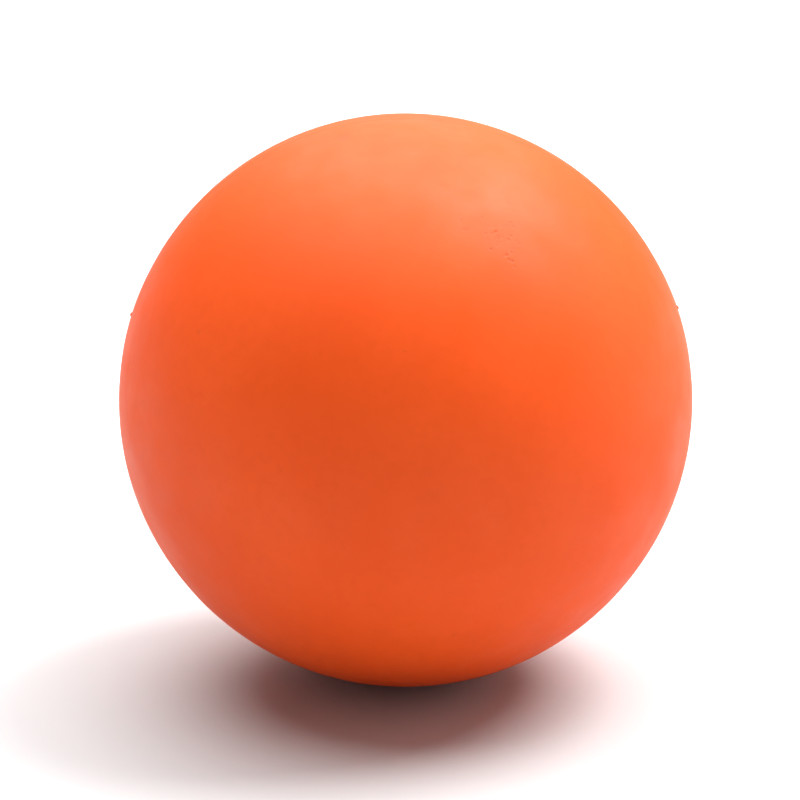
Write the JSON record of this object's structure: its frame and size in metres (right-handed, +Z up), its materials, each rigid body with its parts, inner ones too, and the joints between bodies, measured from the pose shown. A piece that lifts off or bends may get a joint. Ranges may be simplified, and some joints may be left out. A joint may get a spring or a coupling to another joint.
{
  "type": "massage ball",
  "caption": "Smooth solid rubber ball, pressed and rolled against the body to massage muscle.",
  "frame": {"origin": "centre of the ball", "axes": "+Z up, the front towards -Y, and the mould's parting line in the XZ plane, so Y is the mould axis"},
  "size_m": [0.0636, 0.0636, 0.0636],
  "materials": {
    "orange_rubber": "satin"
  },
  "bodies": {
    "root": {"ball": "orange_rubber"}
  },
  "joints": []
}
